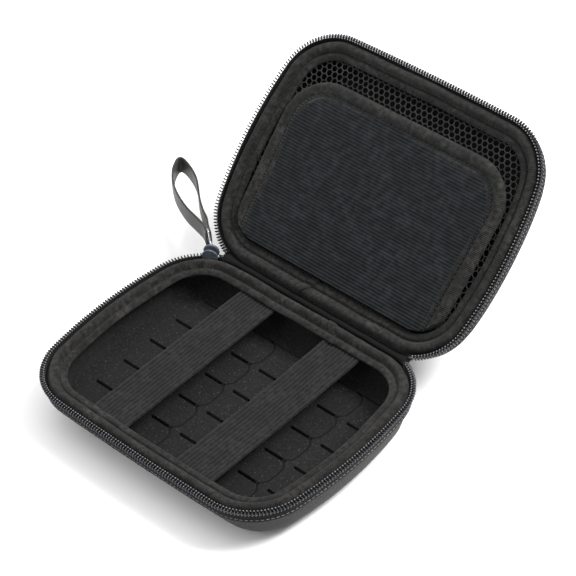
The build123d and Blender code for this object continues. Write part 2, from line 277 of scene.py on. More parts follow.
def grey(value, warm=0.0):
    return (value * (1 + warm), value, value * (1 - warm), 1)


def objectSpot(tree):
    return addNode(tree, "ShaderNodeTexCoord").outputs["Object"]


def clothSpot(tree):
    return addNode(tree, "ShaderNodeUVMap", uv_map="cloth").outputs["UV"]


def ridges(tree, value, pitch, shift=0.0):
    # 0..1 ridges along a length in the map's own unit, highest at whole pitches
    turned = mathNode(tree, "MULTIPLY", value, 2 * math.pi / pitch)
    wave = mathNode(tree, "COSINE", mathNode(tree, "ADD", turned, shift))
    return mathNode(tree, "ADD", mathNode(tree, "MULTIPLY", wave, 0.5), 0.5)


def speckle(tree, spot, scale, low, high):
    texture = addNode(tree, "ShaderNodeTexNoise", {"Vector": spot, "Scale": scale, "Detail": 2.0})
    ramp = addNode(
        tree, "ShaderNodeMapRange",
        {"Value": texture.outputs["Fac"], "From Min": low, "From Max": high})
    return ramp.outputs["Result"]


def bumpFrom(tree, shader, height, strength, distance):
    bump = addNode(
        tree, "ShaderNodeBump", {"Height": height, "Strength": strength, "Distance": distance})
    tree.links.new(bump.outputs["Normal"], shader.inputs["Normal"])


def wovenMaterial(name, dark, light, pitchU, pitchV, rough=0.85, warm=0.0, sheen=0.06,
                  bump=0.5, blotch=0.5, shine=0.2, shareU=0.7, grain=420.0):
    # woven tape: ribs at pitchU along the cloth, threads at pitchV across it, in millimetres, with
    # painted shade in the rib valleys
    material, tree, shader = newMaterial(name, rough, shine)
    parts = addNode(tree, "ShaderNodeSeparateXYZ", {"Vector": clothSpot(tree)})
    ribU = ridges(tree, parts.outputs["X"], pitchU)
    ribV = ridges(tree, parts.outputs["Y"], pitchV)
    both = mathNode(tree, "ADD", mathNode(tree, "MULTIPLY", ribU, shareU),
                    mathNode(tree, "MULTIPLY", ribV, 1 - shareU))
    grains = speckle(tree, objectSpot(tree), grain, 0.35, 0.7)
    cloudy = speckle(tree, objectSpot(tree), 90.0, 0.35, 0.65)
    fuzzy = mathNode(tree, "MULTIPLY", grains, mathNode(
        tree, "ADD", mathNode(tree, "MULTIPLY", cloudy, 0.7), 0.3))
    # painted shade: the colour goes dark in the rib valleys and light on the ridges, by the same
    # ridges that drive the bump
    ribShadedWeave = mixOf(tree, both, grey(dark, warm), grey(light, warm))
    # random lighter flecks of wear laid over the weave with its painted valley shade
    wornAndRibShaded = mixOf(tree, mathNode(tree, "MULTIPLY", fuzzy, blotch), ribShadedWeave, grey(light * 3.5, warm))
    tree.links.new(wornAndRibShaded, shader.inputs["Base Color"])
    shader.inputs["Sheen Weight"].default_value = sheen
    shader.inputs["Sheen Roughness"].default_value = 0.5
    height = mathNode(tree, "ADD", both, mathNode(tree, "MULTIPLY", grains, 0.5))
    bumpFrom(tree, shader, height, bump, 0.0003)
    return material


def feltMaterial(name, dark, light, scale, rough=0.9, warm=0.0, glint=0.0, sheen=0.05,
                 bump=0.35, glintScale=1500.0):
    # matt cloth or foam: fine noise, soft blotches and, where asked, tiny bright glints painted
    # into the colour as highlights
    material, tree, shader = newMaterial(name, rough, 0.25)
    spot = objectSpot(tree)
    fine = speckle(tree, spot, scale, 0.3, 0.7)
    grains = speckle(tree, spot, 520.0, 0.35, 0.65)
    broad = speckle(tree, spot, 60.0, 0.3, 0.7)
    mixed = mathNode(tree, "ADD", mathNode(tree, "MULTIPLY", fine, 0.3), mathNode(
        tree, "ADD", mathNode(tree, "MULTIPLY", grains, 0.45),
        mathNode(tree, "MULTIPLY", broad, 0.25)))
    colour = mixOf(tree, mixed, grey(dark, warm), grey(light, warm))
    if glint > 0:
        # painted highlights: bright specks in the base colour stand in for glints of light
        paintedGlints = speckle(tree, spot, glintScale, 0.66, 0.76)
        colour = mixOf(tree, mathNode(tree, "MULTIPLY", paintedGlints, glint), colour, grey(0.6, warm))
    tree.links.new(colour, shader.inputs["Base Color"])
    shader.inputs["Sheen Weight"].default_value = sheen
    bumpFrom(tree, shader, fine, bump, 0.0003)
    return material


def plainMaterial(name, colour, rough, metallic=0.0, specular=0.4, coat=0.0):
    # enamel, wire or moulded plastic with faint wear
    material, tree, shader = newMaterial(name, rough, specular, metallic)
    wear = speckle(tree, objectSpot(tree), 700.0, 0.4, 0.75)
    lighter = tuple(min(1.0, c * 1.5 + 0.02) for c in colour[:3]) + (1,)
    tree.links.new(mixOf(tree, wear, colour, lighter), shader.inputs["Base Color"])
    roughRange = addNode(
        tree, "ShaderNodeMapRange", {"Value": wear, "To Min": rough * 0.8, "To Max": rough * 1.2})
    tree.links.new(roughRange.outputs["Result"], shader.inputs["Roughness"])
    shader.inputs["Coat Weight"].default_value = coat
    bumpFrom(tree, shader, wear, 0.1, 0.0001)
    return material


bindingCloth = wovenMaterial(
    "bindingGrosgrain", 0.0015, 0.014, 0.95, 6.0, warm=0.04, bump=0.9, blotch=0.5, shine=0.12)
elasticCloth = wovenMaterial(
    "strapElastic", 0.0022, 0.0115, 0.8, 2.236, bump=0.5, blotch=0.3, shareU=0.3, shine=0.12)
ribbonCloth = wovenMaterial(
    "pullerSatin", 0.012, 0.028, 0.5, 0.8, rough=0.5, warm=0.05, sheen=0.06, bump=0.15,
    shine=0.3, blotch=0.3)
tapeCloth = wovenMaterial("zipTape", 0.002, 0.006, 0.8, 0.8, bump=0.5, blotch=0.2, shine=0.1)
panelCloth = wovenMaterial(
    "panelRibCloth", 0.0015, 0.009, 0.7, 1.75, warm=-0.14, bump=0.5, blotch=0.4, shareU=0.12,
    grain=260.0, shine=0.12)
netYarn = wovenMaterial("netYarn", 0.008, 0.019, 0.4, 0.4, bump=0.4, blotch=0.4, shine=0.15)
shellFabric = feltMaterial("shellFabric", 0.006, 0.013, 1900.0, rough=0.7)
liningFabric = feltMaterial("liningTricot", 0.0018, 0.011, 1500.0, glint=0.12, glintScale=1500.0)
foamSkin = feltMaterial("dieCutFoam", 0.0008, 0.0085, 1300.0, glint=0.15, glintScale=1500.0)
# near-black cloth for the painted shade inside the foam's cuts
cutShadow = feltMaterial("foamSlitShade", 0.0005, 0.0012, 1500.0, sheen=0.0)
spineCloth = feltMaterial("spineFabric", 0.0015, 0.004, 1500.0, sheen=0.0)
coilNylon = plainMaterial("coilNylon", (0.004, 0.005, 0.009, 1), 0.3, specular=0.5)
threadCotton = feltMaterial("sewingThread", 0.006, 0.015, 2500.0, rough=0.8)
# thread colour made light, partly as painted highlight for the zipper coil
threadAndCoilHighlight = feltMaterial("zipperThreadAndHighlight", 0.10, 0.24, 2500.0, rough=0.6)
sliderEnamel = plainMaterial(
    "sliderEnamel", (0.055, 0.066, 0.085, 1), 0.45, specular=0.4, coat=0.1)
ringSteel = plainMaterial("ringWire", (0.5, 0.5, 0.52, 1), 0.25, metallic=1.0)
boardGrey = plainMaterial("panelBoard", (0.06, 0.06, 0.06, 1), 0.6)
print("materials made")


# shells and linings
shellForm = {"inset": 2.2, "wall": 2.4, "floorRadius": 12.0, "floorSteps": 9, "wallSteps": 10}
liningForm = {"inset": 5.0, "floorRadius": 9.0, "rimInset": 6.5}


def trayLevels(inset, depth, floorRadius, top):
    # levels down a leaning wall, round the floor edge and onto the floor
    levels = []
    turnFrom = depth - floorRadius
    for k in range(shellForm["wallSteps"]):
        down = (turnFrom - top) * k / shellForm["wallSteps"]
        levels.append((inset + casePlan["leanX"] * down, inset + casePlan["leanY"] * down,
                       -(top + down)))
    for k in range(shellForm["floorSteps"] + 1):
        angle = math.pi / 2 * k / shellForm["floorSteps"]
        down = turnFrom - top + floorRadius * math.sin(angle)
        over = floorRadius * (1 - math.cos(angle))
        levels.append((
            inset + casePlan["leanX"] * down + over * 0.88,
            inset + casePlan["leanY"] * down + over * 0.80, -(top + down)))
    return levels


def floorRings(bm, steps=3):
    # carry the open floor edge in towards the middle and close it
    for share in (0.75, 0.6, 0.3)[:steps]:
        rim = [e for e in bm.edges if len(e.link_faces) == 1
               and abs(e.verts[0].co.z - e.verts[1].co.z) < 1e-3]
        lowest = min(e.verts[0].co.z for e in rim)
        rim = [e for e in rim if e.verts[0].co.z < lowest + 0.01]
        made = bmesh.ops.extrude_edge_only(bm, edges=rim)["geom"]
        for vert in made:
            if isinstance(vert, bmesh.types.BMVert):
                vert.co.x *= share
                vert.co.y *= share
    rim = [e for e in bm.edges if len(e.link_faces) == 1]
    lowest = min(e.verts[0].co.z for e in rim)
    bmesh.ops.holes_fill(
        bm, edges=[e for e in rim if e.verts[0].co.z < lowest + 0.01], sides=0)


def buildShell(half, depth):
    top = -casePlan["shellTop"]
    outside = trayLevels(shellForm["inset"], depth, shellForm["floorRadius"], top)
    edge = [(shellForm["inset"] + 2.2, shellForm["inset"] + 2.2, -top),
            (shellForm["inset"] + 0.5, shellForm["inset"] + 0.5, -top + 0.0)]

    def wobble(x, y, z, along, across):
        soft = roughness(3.1 if half == "base" else 8.7, x, y, z, 38.0, 0.35)
        size = math.hypot(x, y)
        return (x + x / size * soft, y + y / size * soft, z)

    bm = rimStrip(edge + outside, wobble=wobble)
    floorRings(bm)
    bmesh.ops.recalc_face_normals(bm, faces=bm.faces)
    piece = finishPiece(
        bm, half + "ShellCover", halfPlace[half], half, shellFabric,
        [half + "_shell"])
    wall = piece.modifiers.new("wall", "SOLIDIFY")
    wall.thickness = shellForm["wall"] * mm * 0.9
    wall.offset = -1
    return piece


def buildLining(half, depth, floorAt):
    top = -casePlan["shellTop"]
    inside = trayLevels(liningForm["inset"], depth - 3.0, liningForm["floorRadius"], top)
    inside = [level for level in inside if level[2] > floorAt]

    def wobble(x, y, z, along, across):
        soft = roughness(5.3, x, y, z, 22.0, 0.25)
        size = math.hypot(x, y)
        return (x - x / size * abs(soft), y - y / size * abs(soft), z)

    bm = rimStrip([(liningForm["rimInset"] - 0.6, liningForm["rimInset"] - 0.6, -top - 0.05)]
                  + inside, wobble=wobble)
    floorRings(bm)
    bmesh.ops.recalc_face_normals(bm, faces=bm.faces)
    bmesh.ops.reverse_faces(bm, faces=bm.faces)
    piece = finishPiece(
        bm, half + "LiningSkin", halfPlace[half], half, liningFabric,
        [half + "_lining"])
    skin = piece.modifiers.new("skin", "SOLIDIFY")
    skin.thickness = 0.3 * mm
    skin.offset = -1
    return piece


buildShell("base", casePlan["baseHeight"])
buildShell("lid", casePlan["lidHeight"])
buildLining("base", casePlan["baseHeight"], -27.0)
buildLining("lid", casePlan["lidHeight"], -24.0)
print("shells and linings made")

# rim bindings
# inset and height of the tape's section: rolled bead, stitched groove, flat inner lip
bindingForm = {
    "section": [
        (3.6, -5.0), (3.55, -4.0), (3.6, -3.0), (3.9, -2.0), (4.5, -1.15), (5.3, -0.6),
        (6.3, -0.4), (7.3, -0.65), (8.1, -1.25), (8.75, -2.15), (9.2, -3.3), (9.55, -4.1),
        (9.95, -3.4), (10.5, -2.75), (11.5, -2.65), (12.6, -3.05), (13.5, -3.5), (13.9, -4.1),
        (13.7, -4.7), (13.0, -4.95), (9.5, -5.0), (6.5, -5.0), (3.6, -5.0)],
    "stitchPitch": 3.1, "stitchInset": 9.62, "stitchHeight": -3.75,
}


def bindingWobble(seed):
    def wobble(x, y, z, along, across):
        size = math.hypot(x, y)
        lift = roughness(seed, x, y, z * 3, 16.0, 0.45) + roughness(seed, x, y, z * 3, 5.0, 0.22)
        side = roughness(seed + 7, x, y, 0, 24.0, 0.5)
        if z < -4.6:
            lift = 0.0
        return (x - x / size * side, y - y / size * side, z + min(lift, 0.35))
    return wobble


def buildBinding(half, seed):
    levels = [(a, a, z) for a, z in bindingForm["section"]]
    bm = rimStrip(levels, loopAcross=True, wobble=bindingWobble(seed))
    bmesh.ops.recalc_face_normals(bm, faces=bm.faces)
    piece = finishPiece(bm, half + "RimTape", halfPlace[half], half, bindingCloth,
                        [half + "_binding"])
    smooth = piece.modifiers.new("soft", "SUBSURF")
    smooth.levels = 1
    smooth.render_levels = 1
    inset = bindingForm["stitchInset"]
    stitch = stitchMesh(2.3, 0.5, 0.45)
    bm = bmesh.new()
    copyMany(bm, stitch, stitchPlaces(
        ringPoints(inset, inset), bindingForm["stitchPitch"], bindingForm["stitchHeight"], True))
    finishPiece(bm, half + "RimStitches", halfPlace[half], half, threadCotton)


def buildJoin(half, fromX, toX, seed):
    # the tape's overlapped ends, a second layer over the first on the hinge side
    section = bindingForm["section"][1:18]
    count = 8
    slant = 0.5
    rearY = casePlan["depth"] / 2 - casePlan["frontBow"] / 2

    def placeOf(i, j):
        inset, z = section[j]
        ragged = 0.5 * noise.noise(Vector((j * 0.45, i * 0.1, seed))) * (i in (0, count))
        lift = 0.55 if 0 < i < count else 0.1
        outward = Vector((inset - 7.5, z + 4.5)).normalized() * lift
        return (fromX + (toX - fromX) * i / count + slant * j + ragged * 2.5,
                rearY - inset - outward.x, z + outward.y)

    bm = clothGrid(count, len(section) - 1, placeOf, lambda i, j: (i * 0.7, j * 0.6))
    bmesh.ops.recalc_face_normals(bm, faces=bm.faces)
    low = min(bm.faces, key=lambda face: -face.calc_center_median().z)
    if low.normal.z < 0:
        bmesh.ops.reverse_faces(bm, faces=bm.faces)
    piece = finishPiece(bm, half + "TapeJoin", halfPlace[half], half, bindingCloth)
    layer = piece.modifiers.new("layer", "SOLIDIFY")
    layer.thickness = 0.3 * mm
    layer.offset = -1


buildBinding("base", 2.3)
buildBinding("lid", 11.9)
buildJoin("base", 12.0, 17.5, 1.7)
buildJoin("lid", -18.0, -12.5, 4.4)
print("rim bindings made")

# zipper
zipForm = {
    "startAngle": 113.5, "tapeStart": 109.0, "toothPitch": 1.74, "toothInset": 0.75,
    "toothHeight": -1.55, "tapeInset": 1.95,
}


def toothMaker(bm):
    # one turn of the nylon coil, a rounded bar that stands across the tape's edge
    bmesh.ops.create_cube(bm, size=1)
    bmesh.ops.scale(bm, vec=(0.72, 2.1, 1.9), verts=bm.verts)
    bmesh.ops.bevel(
        bm, geom=bm.edges[:], offset=0.26, offset_type="OFFSET", affect="EDGES", segments=1,
        profile=0.5, material=-1)


def buildZipper(half):
    tooth = littleMesh(toothMaker)
    inset = zipForm["toothInset"]
    points = ringPoints(inset, inset, zipForm["startAngle"])
    places = stitchPlaces(points, zipForm["toothPitch"], zipForm["toothHeight"], tilt=0.16)
    bm = bmesh.new()
    copyMany(bm, tooth, places)
    finishPiece(bm, half + "CoilTeeth", halfPlace[half], half, coilNylon,
                [half + "_zipper_coil"])
    levels = [(zipForm["tapeInset"] - 0.25 + d, zipForm["tapeInset"] - 0.25 + d, z)
              for d, z in ((0.1, -1.0), (0.0, -3.0), (0.05, -6.0), (0.0, -8.2), (0.1, -9.0))]
    bm = rimStrip(levels, zipForm["tapeStart"])
    bmesh.ops.recalc_face_normals(bm, faces=bm.faces)
    outer = min(bm.faces, key=lambda face: face.calc_center_median().y)
    if outer.normal.y > 0:
        bmesh.ops.reverse_faces(bm, faces=bm.faces)
    piece = finishPiece(bm, half + "ZipTape", halfPlace[half], half, tapeCloth,
                        [half + "_zipper_tape"])
    cloth = piece.modifiers.new("cloth", "SOLIDIFY")
    cloth.thickness = 0.5 * mm
    cloth.offset = -1
    # sewing that holds the coil to the tape, a light row at tooth pitch beside the coil's top that
    # is partly painted highlight, and the row that holds the tape to the shell
    bm = bmesh.new()
    points = ringPoints(1.55, 1.55, zipForm["startAngle"])
    copyMany(bm, stitchMesh(1.05, 0.5, 0.55),
             stitchPlaces(points, zipForm["toothPitch"], -3.15))
    # partly painted highlight: light dashes at tooth pitch beside the top of the coil
    points = ringPoints(2.05, 2.05, zipForm["startAngle"])
    copyMany(bm, stitchMesh(0.8, 0.75, 0.6),
             stitchPlaces(points, zipForm["toothPitch"], -0.75))
    points = ringPoints(1.6, 1.6, zipForm["tapeStart"])
    copyMany(bm, stitchMesh(1.9, 0.4, 0.4), stitchPlaces(points, 2.6, -7.2))
    finishPiece(bm, half + "ZipStitches", halfPlace[half], half, threadAndCoilHighlight)
    # moulded stops at both ends
    bm = bmesh.new()
    centre = (-cornerX, cornerY)
    radius = casePlan["corner"] - 0.95
    for side in (1, -1):
        angle = math.radians(111.3)
        made = bmesh.ops.create_cube(bm, size=1)["verts"]
        bmesh.ops.scale(bm, vec=(1.5, 2.2, 2.3), verts=made)
        turn = Matrix.Rotation(angle if side > 0 else math.pi - angle, 4, "Z")
        spot = Vector((side * (centre[0] + radius * math.cos(angle)),
                       centre[1] + radius * math.sin(angle), -1.55))
        bmesh.ops.transform(bm, matrix=Matrix.Translation(spot) @ turn, verts=made)
    bmesh.ops.bevel(
        bm, geom=bm.edges[:], offset=0.45, offset_type="OFFSET", affect="EDGES", segments=2,
        profile=0.5, material=-1)
    finishPiece(bm, half + "ZipStops", halfPlace[half], half, coilNylon,
                [half + "_zipper_stops"])


buildZipper("base")
buildZipper("lid")
print("zipper made")

# foam insert
foamForm = {
    "top": -23.3, "edge": 0.35, "pitchX": 20.5, "firstCut": -51.25, "cuts": 7,
    "rows": (-49.25, -29.55, -9.85, 9.85, 29.55, 49.25), "cutCorner": 6.5, "cutWidth": 1.0,
}


def nodeCopy(name):
    bm = bmesh.new()
    bm.from_mesh(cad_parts[name].data)
    bmesh.ops.scale(bm, vec=(1 / mm, 1 / mm, 1 / mm), verts=bm.verts)
    bmesh.ops.remove_doubles(bm, verts=bm.verts, dist=1e-3)
    bmesh.ops.dissolve_limit(
        bm, angle_limit=math.radians(1), verts=bm.verts, edges=bm.edges)
    return bm


def buildFoam():
    bm = nodeCopy("foam_slotted_pad")
    top = casePlan["baseHeight"] + foamForm["top"]
    sharp = [e for e in bm.edges if all(abs(v.co.z - top) < 0.01 for v in e.verts)
             and e.is_manifold and e.calc_face_angle(0) > 0.8]
    bmesh.ops.bevel(
        bm, geom=sharp, offset=foamForm["edge"], offset_type="OFFSET", affect="EDGES",
        segments=2, profile=0.5, material=-1)
    bmesh.ops.triangulate(bm, faces=[f for f in bm.faces if len(f.verts) > 4])
    finishPiece(bm, "slottedFoam", None, "base", foamSkin, ["foam_slotted_pad"],
                smooth=False)
    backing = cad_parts["foam_backing_sheet"]
    backing.data.materials.clear()
    backing.data.materials.append(foamSkin)


def flatStrip(bm, points, width, z):
    # a narrow strip along plan points, lying on the foam
    made = []
    for k, (x, y) in enumerate(points):
        a = points[max(k - 1, 0)]
        b = points[min(k + 1, len(points) - 1)]
        along = Vector((b[0] - a[0], b[1] - a[1])).normalized() * width / 2
        made.append((bm.verts.new((x + along.y, y - along.x, z)),
                     bm.verts.new((x - along.y, y + along.x, z))))
    for (a, b), (c, d) in zip(made, made[1:]):
        bm.faces.new((a, c, d, b))


def cutPath(x, low, high, radius):
    path = [(x - radius, low)]
    path += arcPoints((x - radius, low + radius), radius, -math.pi / 2, 0, 7)
    path += [(x, low + radius), (x, high - radius)]
    path += arcPoints((x - radius, high - radius), radius, 0, math.pi / 2, 7)[1:]
    path.append((x - radius, high))
    return path[1:]


def paintFoamCutShade():
    # painted shade: dark strips lying on the foam where shade falls in the fine cuts between its
    # cells
    bm = bmesh.new()
    rows = foamForm["rows"]
    width = foamForm["cutWidth"]
    for k in range(foamForm["cuts"]):
        x = foamForm["firstCut"] + foamForm["pitchX"] * k
        for low, high in zip(rows, rows[1:]):
            flatStrip(bm, cutPath(x, low, high, foamForm["cutCorner"]), width, 0.0)
    for y in (rows[0], rows[-1]):
        flatStrip(bm, [(-66.0, y), (0.0, y), (66.7, y)], width, 0.0)
    bmesh.ops.recalc_face_normals(bm, faces=bm.faces)
    for face in bm.faces:
        if face.normal.z < 0:
            face.normal_flip()
    bmesh.ops.solidify(bm, geom=bm.faces[:], thickness=0.05)
    place = toBase @ Matrix.Translation((0, 0, foamForm["top"] + 0.03))
    finishPiece(bm, "foamCutShadeStrips", place, "base", cutShadow)


buildFoam()
paintFoamCutShade()
print("foam made")

# elastic straps
strapForm = {"width": 24.6, "offset": 30.0, "reach": 60.6, "ribs": 11, "thick": 1.1, "steps": 44}


def buildStrap(side, name, node):
    # one closed band: ribbed along its length on both faces, a little slack
    width, half = strapForm["width"], strapForm["width"] / 2
    perRib = 6
    count = strapForm["ribs"] * perRib
    outline = []
    for k in range(count + 1):
        x = -half + width * k / count
        outline.append((x, 0.16 * math.cos(2 * math.pi * k / perRib + math.pi)))
    outline += [(half, -strapForm["thick"] * 0.5)]
    outline += [(x, -strapForm["thick"] - z * 0.5) for x, z in reversed(outline[:-1])]
    outline += [(-half, -strapForm["thick"] * 0.5), outline[0]]
    steps = strapForm["steps"]

    def placeOf(i, j):
        y = -strapForm["reach"] + 2 * strapForm["reach"] * i / steps
        x, z = outline[j]
        share = y / strapForm["reach"]
        slack = -0.7 * (1 - share ** 2) + 0.12 * math.sin(y * 0.21 + side)
        sway = 0.25 * math.sin(y * 0.045 + side * 1.3)
        cup = 0.25 * (x / half) ** 2 * (1 - share ** 4)
        return (side * strapForm["offset"] + x + sway, y, -5.15 + z + slack + cup - 0.15)

    bm = clothGrid(steps, len(outline) - 1, placeOf,
                   lambda i, j: (i * 2 * strapForm["reach"] / steps, outline[j][0]))
    bmesh.ops.remove_doubles(bm, verts=bm.verts, dist=1e-4)
    closeHoles(bm)
    finishPiece(bm, name, toBase, "base", elasticCloth, [node])


buildStrap(-1, "leftStrap", "elastic_band_left")
buildStrap(1, "rightStrap", "elastic_band_right")
bm = bmesh.new()
tackStitch = stitchMesh(1.5, 0.6, 0.5)
tackSpots = []
for side in (-1, 1):
    for end in (-1, 1):
        for fromEnd in (2.5, 5.5):
            for k in range(14):
                tackSpots.append(Matrix.Translation((
                    side * strapForm["offset"] - 9.1 + 1.4 * k,
                    end * (strapForm["reach"] - fromEnd), -6.75)))
copyMany(bm, tackStitch, tackSpots)
finishPiece(bm, "strapTacks", toBase, "base", threadCotton, ["elastic_band_tacks"])
print("straps made")

# divider panel
panelForm = {
    "half": 74.4, "lean": 3.4, "far": -43.0, "near": 52.6, "corner": 27.0, "bead": 7.0,
    "front": -1.2, "ribPitch": 1.75, "ribHeight": 0.28, "clothSteps": 70,
}


def panelHalfWidth(y, inset):
    # half width of the panel at one distance from the hinge
    form = panelForm
    reach = form["near"] - form["far"]
    share = (y - form["far"]) / reach
    half = form["half"] - form["lean"] * share - inset
    radius = form["corner"] - inset
    low = form["far"] + inset
    if y < low + radius:
        drop = low + radius - y
        half -= radius - math.sqrt(max(radius ** 2 - drop ** 2, 0.0))
    rim = casePlan["corner"] - 15.3
    if y > cornerY:
        rise = min(y - cornerY, rim)
        half = min(half, cornerX + math.sqrt(rim ** 2 - rise ** 2))
    return half


def buildPanelCloth(name, top, below, node, bump):
    form = panelForm
    far = form["far"] + form["bead"]
    reach = form["near"] - 0.1 - far
    rows = round(reach / form["ribPitch"] * 5)
    columns = form["clothSteps"]

    def placeOf(i, j):
        y = far + reach * j / rows
        share = 2 * i / columns - 1
        x = share * (panelHalfWidth(y, form["bead"]) + 0.3)
        rib = math.cos(2 * math.pi * y / form["ribPitch"]
                       + 0.35 * noise.noise(Vector((x / 9, y / 9, 3))))
        soft = roughness(6.0, x, y, 0, 30.0, 0.25)
        crown = 0.3 * (1 - share ** 4) * (1 - (2 * j / rows - 1) ** 4)
        return (x, y, top + (form["ribHeight"] * rib / 2 + soft + crown) * bump)

    bm = clothGrid(columns, rows, placeOf, lambda i, j: (
        (i / columns - 0.5) * 134.0, far + reach * j / rows))
    bmesh.ops.recalc_face_normals(bm, faces=bm.faces)
    flip = sum(face.normal.z for face in bm.faces) < 0
    if flip != (bump < 0):
        bmesh.ops.reverse_faces(bm, faces=bm.faces)
    piece = finishPiece(bm, name, toLid, "panel", panelCloth, [node])
    layer = piece.modifiers.new("layer", "SOLIDIFY")
    layer.thickness = below * mm
    layer.offset = -1
    return piece


def panelPath():
    # left near end, far corners, right near end, with the inward direction at each place
    form = panelForm
    tilt = math.atan2(form["lean"], form["near"] - form["far"])
    radius = form["corner"]
    centre = (-form["half"] + radius, form["far"] + radius)
    path = []
    start = Vector((centre[0] - radius * math.cos(tilt), centre[1] - radius * math.sin(tilt)))
    along = Vector((math.sin(tilt), math.cos(tilt)))
    runUp = form["near"] - 0.2 - start.y
    for k in range(30):
        spot = start + along * runUp * (1 - k / 30)
        path.append((spot.x, spot.y, math.pi + tilt))
    for k in range(22):
        angle = math.pi + tilt + (math.pi / 2 - tilt) * k / 22
        path.append((centre[0] + radius * math.cos(angle),
                     centre[1] + radius * math.sin(angle), angle))
    for k in range(25):
        path.append((centre[0] * (1 - k / 24.5), form["far"], 1.5 * math.pi))
    return path + [(-x, y, 3 * math.pi - a) for x, y, a in reversed(path)]


def insideRim(x, y, keep):
    # keep the panel's rear corners inside the rim tape
    overX, overY = abs(x) - cornerX, y - cornerY
    if overX > 0 and overY > 0:
        reach = math.hypot(overX, overY)
        if reach > keep:
            x = math.copysign(cornerX + overX * keep / reach, x)
            y = cornerY + overY * keep / reach
    return x, y


def buildPanelTape():
    section = [
        (11.5, -1.35), (10.6, -0.95), (9.4, -0.7), (8.2, -1.0), (7.5, -1.9), (7.0, -1.5),
        (6.3, -0.4), (5.2, 0.1), (3.9, 0.3), (2.5, 0.05), (1.3, -0.6), (0.45, -1.6),
        (0.1, -2.6), (0.5, -3.7), (1.6, -4.5), (3.5, -4.75), (6.0, -4.7), (7.3, -4.35),
        (9.0, -4.6), (11.3, -4.55), (11.5, -4.2), (7.2, -4.15), (7.2, -1.5), (11.5, -1.35)]
    path = panelPath()
    lengths = runLengths([(x, y) for x, y, _ in path])
    across = runLengths(section)

    def placeOf(i, j):
        x, y, angle = path[i]
        inset, z = section[j]
        lift = 0.0
        if -0.9 < z and inset < 12:
            lift = (roughness(14.0, x, y, inset, 15.0, 0.4)
                    + roughness(14.0, x, y, inset, 5.0, 0.2))
        inset += roughness(19.0, x, y, 0, 26.0, 0.5) if inset > 0.3 else 0.0
        px, py = insideRim(x - math.cos(angle) * inset, y - math.sin(angle) * inset, 18.7)
        return (px, py, z + min(lift, 0.3) - 0.45)

    bm = clothGrid(len(path) - 1, len(section) - 1, placeOf,
                   lambda i, j: (lengths[i], across[j]))
    bmesh.ops.remove_doubles(bm, verts=bm.verts, dist=1e-4)
    closeHoles(bm)
    piece = finishPiece(bm, "panelEdgeTape", toLid, "panel", bindingCloth,
                        ["panel_binding"])
    smooth = piece.modifiers.new("soft", "SUBSURF")
    smooth.levels = 1
    smooth.render_levels = 1
    line = [(x - math.cos(a) * 7.2, y - math.sin(a) * 7.2) for x, y, a in path if y < 46]
    bm = bmesh.new()
    copyMany(bm, stitchMesh(2.2, 0.5, 0.45), stitchPlaces(line, 3.0, -1.45))
    finishPiece(bm, "panelStitches", toLid, "panel", threadCotton)


buildPanelCloth("panelRibbedFront", -1.35, 0.5, "panel_front_cloth", 1.0)
buildPanelCloth("panelRibbedBack", -4.05, 0.5, "panel_back_cloth", -0.25)
buildPanelTape()
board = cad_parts["panel_board"]
board.data.materials.clear()
board.data.materials.append(boardGrey)
print("divider panel made")

# net pocket
netForm = {"cellX": 3.7, "cellY": 3.05, "yarn": 0.62, "thick": 0.4, "z": -5.3, "near": 47.0}


def insidePlan(x, y, inset):
    halfX = casePlan["length"] / 2 - inset
    halfY = casePlan["depth"] / 2 - inset
    overX, overY = abs(x) - cornerX, abs(y) - cornerY
    if overX > 0 and overY > 0:
        return math.hypot(overX, overY) < casePlan["corner"] - inset
    return abs(x) < halfX and abs(y) < halfY


def buildNet():
    # knitted mesh: six-sided holes, cut out of one sheet
    form = netForm
    bm = bmesh.new()
    uv = bm.loops.layers.uv.new("cloth")
    rows = range(-24, 17)
    for row in rows:
        for column in range(-24, 25):
            x = (column + 0.5 * (row % 2)) * form["cellX"]
            y = row * form["cellY"]
            if y > form["near"] - 6 or not insidePlan(x, y, 8.5):
                continue
            ring = []
            for k in range(6):
                angle = math.pi / 6 + math.pi / 3 * k
                ring.append(bm.verts.new((
                    x + math.cos(angle) * form["cellX"] / math.sqrt(3),
                    y + math.sin(angle) * form["cellY"] / 1.5, 0)))
            bm.faces.new(ring)
    bmesh.ops.remove_doubles(bm, verts=bm.verts, dist=0.05)
    bmesh.ops.inset_individual(bm, faces=bm.faces[:], thickness=form["yarn"] / 2, depth=0)
    cells = [f for f in bm.faces if len(f.verts) == 6]
    bmesh.ops.delete(bm, geom=cells, context="FACES_ONLY")
    for vert in bm.verts:
        x, y = vert.co.x, vert.co.y
        vert.co.z = form["z"] + roughness(9.0, x, y, 0, 20.0, 0.5)
        vert.co.x += roughness(2.0, x, y, 0, 11.0, 0.7)
        vert.co.y += roughness(4.0, x, y, 0, 11.0, 0.7)
    for face in bm.faces:
        for loop in face.loops:
            loop[uv].uv = (loop.vert.co.x, loop.vert.co.y)
    for face in bm.faces:
        if face.normal.z < 0:
            face.normal_flip()
    piece = finishPiece(bm, "pocketNet", toLid, "lid", netYarn, ["lid_net"])
    yarn = piece.modifiers.new("yarn", "SOLIDIFY")
    yarn.thickness = form["thick"] * mm
    yarn.offset = 0
    surface = sum(face.area for face in piece.data.polygons)
    return piece, surface


net, netYarnArea = buildNet()


